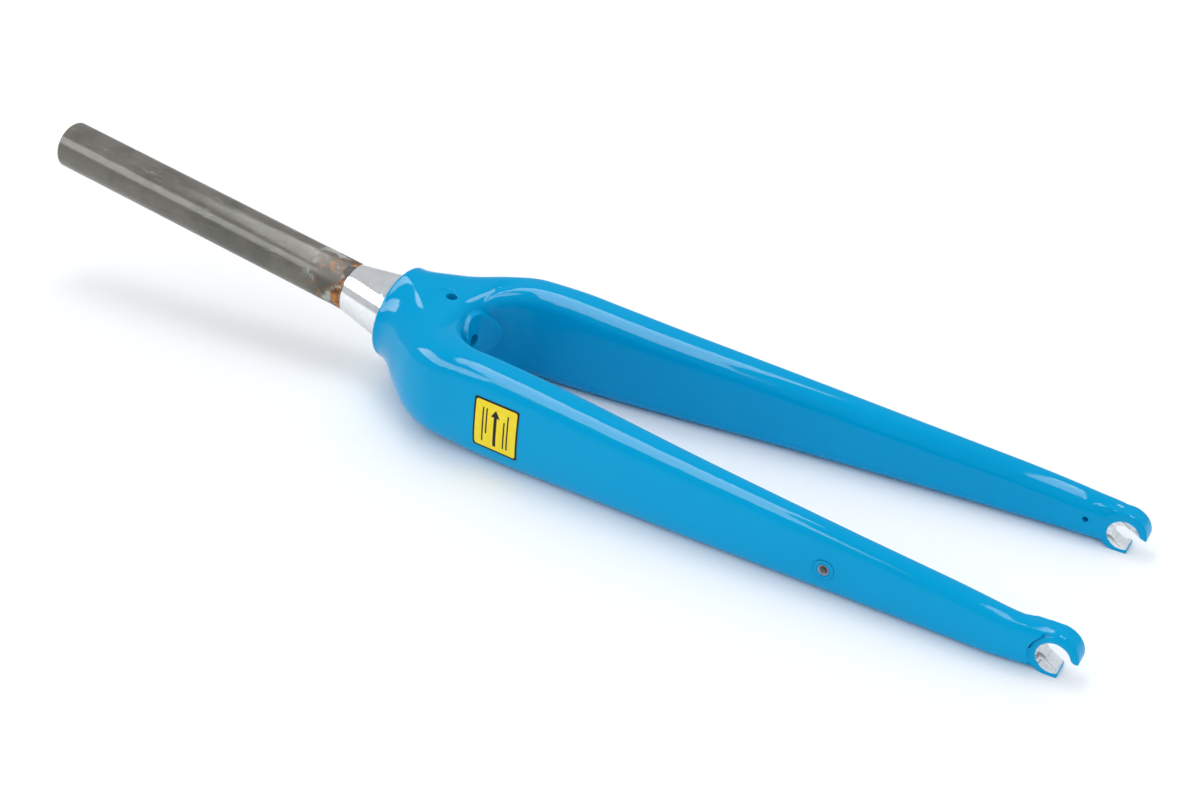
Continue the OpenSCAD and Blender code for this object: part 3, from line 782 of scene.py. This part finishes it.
def neck_section(u, side):
    v = u * u * (3 - 2 * u)
    s = BLADE_END + NECK_LENGTH * u
    y0, y1 = inner(BLADE_END), outer(BLADE_END)
    n0 = y0 + (HUB_HALF + JAW_INSET - y0) * v
    n1 = y1 + (HUB_HALF + PLATE + NECK_OUTER - y1) * v
    z0, z1 = rear(BLADE_END), BLADE_FRONT
    f0, f1 = floor_line(s), curve(NECK_TOP, u)
    return [(s, side * (n0 + (n1 - n0) * (side * y - y0) / (y1 - y0)),
             f0 + (f1 - f0) * (t - z0) / (z1 - z0)) for _, y, t in section(BLADE_END, side)]


def neck_solid(side):
    """The blade's last stretch and the neck, closed."""
    rings = [section(BLADE_END - 10 + i, side) for i in range(10)]
    return add_object("neck", loft(rings + [neck_section(i / 26, side) for i in range(27)]))


def torus(name, centre, axis, radius, thin):
    """A ring round an axis: its middle line's radius and its own thickness's."""
    bm = bmesh.new()
    rings = []
    turn = Vector((0, 0, 1)).rotation_difference(axis)
    for i in range(96):
        a = 2 * math.pi * i / 96
        out = Vector((math.cos(a), math.sin(a), 0))
        rings.append([bm.verts.new(centre + turn @ (out * (radius + thin * math.cos(b))
                                                    + Vector((0, 0, thin * math.sin(b)))) * MM)
                      for b in [2 * math.pi * k / 24 for k in range(24)]])
    for a, b in zip(rings, rings[1:] + rings[:1]):
        for k in range(24):
            j = (k + 1) % 24
            bm.faces.new((a[k], b[k], b[j], a[j]))
    bmesh.ops.recalc_face_normals(bm, faces=bm.faces)
    return add_object(name, bm)


def shoulder(side):
    """The block that carries the head's top edge on into the neck."""
    return add_object("shoulder", loft([
        [(s, side * y, z) for y, z in ((inside, 34), (OUTER_FACE - 0.3, 34),
                                       (OUTER_FACE - 0.3, top), (inside, top))]
        for s, top, inside in NECK_EDGE]))


def dropout(name, side):
    obj = neck_solid(side)
    obj.name = name
    cut(obj, [rod("step", row(HEAD_DOWN, side * (OUTER_FACE + 10), RAKE), SIDE,
                  HEAD_RADIUS - 1, 20)])
    join(obj, [rod("head", row(HEAD_DOWN, side * (HUB_HALF + PLATE / 2), RAKE), SIDE,
                   HEAD_RADIUS, PLATE, segments=96),
               shoulder(side),
               torus("lip", at_axle(NUT_SHIFT, 0, OUTER_FACE - 1.2, side), SIDE,
                     NUT_SEAT + 1.6, 2.0)])
    softened(obj, 0.5, 9)
    low, high = HUB_HALF - 5, OUTER_FACE + 5
    jaw = [(JAW_DOWN, -1)] + JAW_TIP + [(JAW_DOWN, -30), (40, -30), (40, -1)]
    cut(obj, [torus("groove", at_axle(NUT_SHIFT, 0, OUTER_FACE + 0.4, side), SIDE,
                    NUT_SEAT + 4.4, 1.0),
              rod("nut_seat", at_axle(NUT_SHIFT, 0, NUT_FACE + 10, side), SIDE, NUT_SEAT, 20,
                  segments=96),
              rod("hub_seat", at_axle(NUT_SHIFT, 0, HUB_HALF - 4.7, side), SIDE, HUB_SEAT, 10,
                  segments=96),
              prism("slot", slot_outline(SLOT_R, 30), low, high, side),
              prism("jaw", jaw, low, high, side)])
    softened(obj, 0.4, 7)
    dress(obj, painted_and_bare)
    cut(obj, [
        rod("vent", row(VENT_DOWN, side * (HUB_HALF - 3), RAKE - 1), SIDE, VENT_R, 14, paint),
        slab("blade_side", BLADE_END - 40, BLADE_END, side * 57, 30, paint),
        under_floor("below", side * 57, paint)])
    smooth(obj, 38)
    return piece(obj, name[len("painted_"):])


dropout("painted_dropout_right", -1)
dropout("painted_dropout_left", 1)


# ---------------------------------------------------------------- label
def side_at(s, t):
    middle, half = (front(s) + rear(s)) / 2, (front(s) - rear(s)) / 2
    side = 1 if t > middle else -1
    n = square(s, side)
    x = max(0.0, 1 - (abs(t - middle) / half) ** n)
    return outer(s) - rounding(s, side) * (1 - x ** (1 / n))


def label_piece():
    """The film as a thin sheet with round corners, wrapped round the blade's outer side."""
    across_steps, down_steps, gap, thick, r = 36, 60, 0.03, 0.15, LABEL_CORNER
    bm = bmesh.new()
    layers = []
    for lift in (gap, gap + thick):
        grid = []
        for i in range(across_steps + 1):
            line = []
            for j in range(down_steps + 1):
                p, q = LABEL_LENGTH * i / across_steps, LABEL_WIDTH * j / down_steps
                cp = min(max(p, r), LABEL_LENGTH - r)
                cq = min(max(q, r), LABEL_WIDTH - r)
                far, wide = math.hypot(p - cp, q - cq), max(abs(p - cp), abs(q - cq))
                if far > 0:
                    p, q = cp + (p - cp) * wide / far, cq + (q - cq) * wide / far
                u, v = p / LABEL_LENGTH, q / LABEL_WIDTH
                s = LABEL_DOWN + LABEL_LENGTH * u + LABEL_LEAN * v
                t = LABEL_FRONT + LABEL_RISE * u - LABEL_WIDTH * v
                slope = side_at(s, t + 0.2) - side_at(s, t - 0.2)
                size = math.hypot(slope, 0.4)
                line.append(bm.verts.new(row(s, -side_at(s, t) - lift * 0.4 / size,
                                             t - lift * slope / size)))
            grid.append(line)
        layers.append(grid)
    low, high = layers
    for i in range(across_steps):
        for j in range(down_steps):
            for grid in layers:
                bm.faces.new((grid[i][j], grid[i + 1][j], grid[i + 1][j + 1], grid[i][j + 1]))
    edge = [(i, 0) for i in range(across_steps)] + [(across_steps, j) for j in range(down_steps)]
    edge += [(i, down_steps) for i in range(across_steps, 0, -1)]
    edge += [(0, j) for j in range(down_steps, 0, -1)]
    for (i, j), (k, m) in zip(edge, edge[1:] + edge[:1]):
        bm.faces.new((low[i][j], low[k][m], high[k][m], high[i][j]))
    bmesh.ops.recalc_face_normals(bm, faces=bm.faces)
    return add_object("label_film", bm)


film = label_piece()
film.data.materials.append(label)
smooth(film, 50)
piece(film, "direction_label")

# ---------------------------------------------------------------- pieces carried over as built
dress(nodes["steerer_tube"], steel)
for name in ("insert_right", "insert_left"):
    dress(nodes[name], insert)
    rounded = nodes[name].modifiers.new("rounded", "BEVEL")
    rounded.width, rounded.segments = 0.25 * MM, 3
for name in ("steerer_tube", "insert_right", "insert_left"):
    smooth(nodes[name], 35)

# ---------------------------------------------------------------- floor, light and camera
bm = bmesh.new()
bmesh.ops.create_grid(bm, x_segments=1, y_segments=1, size=6.0)
floor = add_object("floor", bm)
n = Nodes("studio_floor")
n.set(Base_Color=(0.95, 0.955, 0.96, 1), Roughness=0.7, Specular_IOR_Level=0.1)
floor.data.materials.append(n.material)

world = bpy.data.worlds.new("studio")
scene.world = world
world.use_nodes = True
sky = world.node_tree
sky.nodes["Background"].inputs["Color"].default_value = (0.95, 0.975, 1.0, 1)
light_path = sky.nodes.new("ShaderNodeLightPath")
level = sky.nodes.new("ShaderNodeMapRange")
level.inputs["To Min"].default_value = 1.0
level.inputs["To Max"].default_value = 0.35
sky.links.new(light_path.outputs["Is Glossy Ray"], level.inputs["Value"])
sky.links.new(level.outputs["Result"], sky.nodes["Background"].inputs["Strength"])


def area_light(name, place, target, size, power, color=(1, 1, 1)):
    data = bpy.data.lights.new(name, "AREA")
    data.shape = "RECTANGLE"
    data.size, data.size_y = size
    data.energy = power
    data.color = color
    obj = bpy.data.objects.new(name, data)
    obj.location = place
    obj.rotation_euler = (Vector(target) - Vector(place)).to_track_quat("-Z", "Y").to_euler()
    scene.collection.objects.link(obj)
    return obj


key = area_light("key", (-0.3, 0.3, 1.5), (0, 0, 0), (0.6, 0.7), 4)
key.visible_glossy = False
SHEEN = 14.0    # how bright each soft light looks in a reflection, the floor's white being 1
for name, place, target, size in (
        ("softbox_left", (-0.435, -0.25, 1.5), (-0.435, -0.25, 0), (0.73, 2.5)),
        ("softbox_right", (0.65, 0.5, 1.5), (0.65, 0.5, 0), (0.7, 2.0)),
        ("window", (-1.36, -0.88, 0.99), (-0.1, 0, 0.05), (1.8, 0.75))):
    softbox = area_light(name, place, target, size, SHEEN * math.pi * size[0] * size[1])
    softbox.visible_diffuse = False

# the photograph's camera: its own right, up and back, and where it stands
RIGHT = Vector((0.86353, 0.50354, 0.02743))
UP = Vector((-0.28369, 0.44010, 0.85196))
BACK = Vector((0.41693, -0.74347, 0.52290))
camera_data = bpy.data.cameras.new("camera")
camera_data.sensor_width = 36
camera_data.lens = 52.92
camera = bpy.data.objects.new("camera", camera_data)
turn = Matrix((RIGHT, UP, BACK)).transposed().to_4x4()
camera.matrix_world = Matrix.Translation((0.43862, -0.70221, 0.51536)) @ turn
scene.collection.objects.link(camera)
scene.camera = camera
scene.view_settings.view_transform = "Standard"
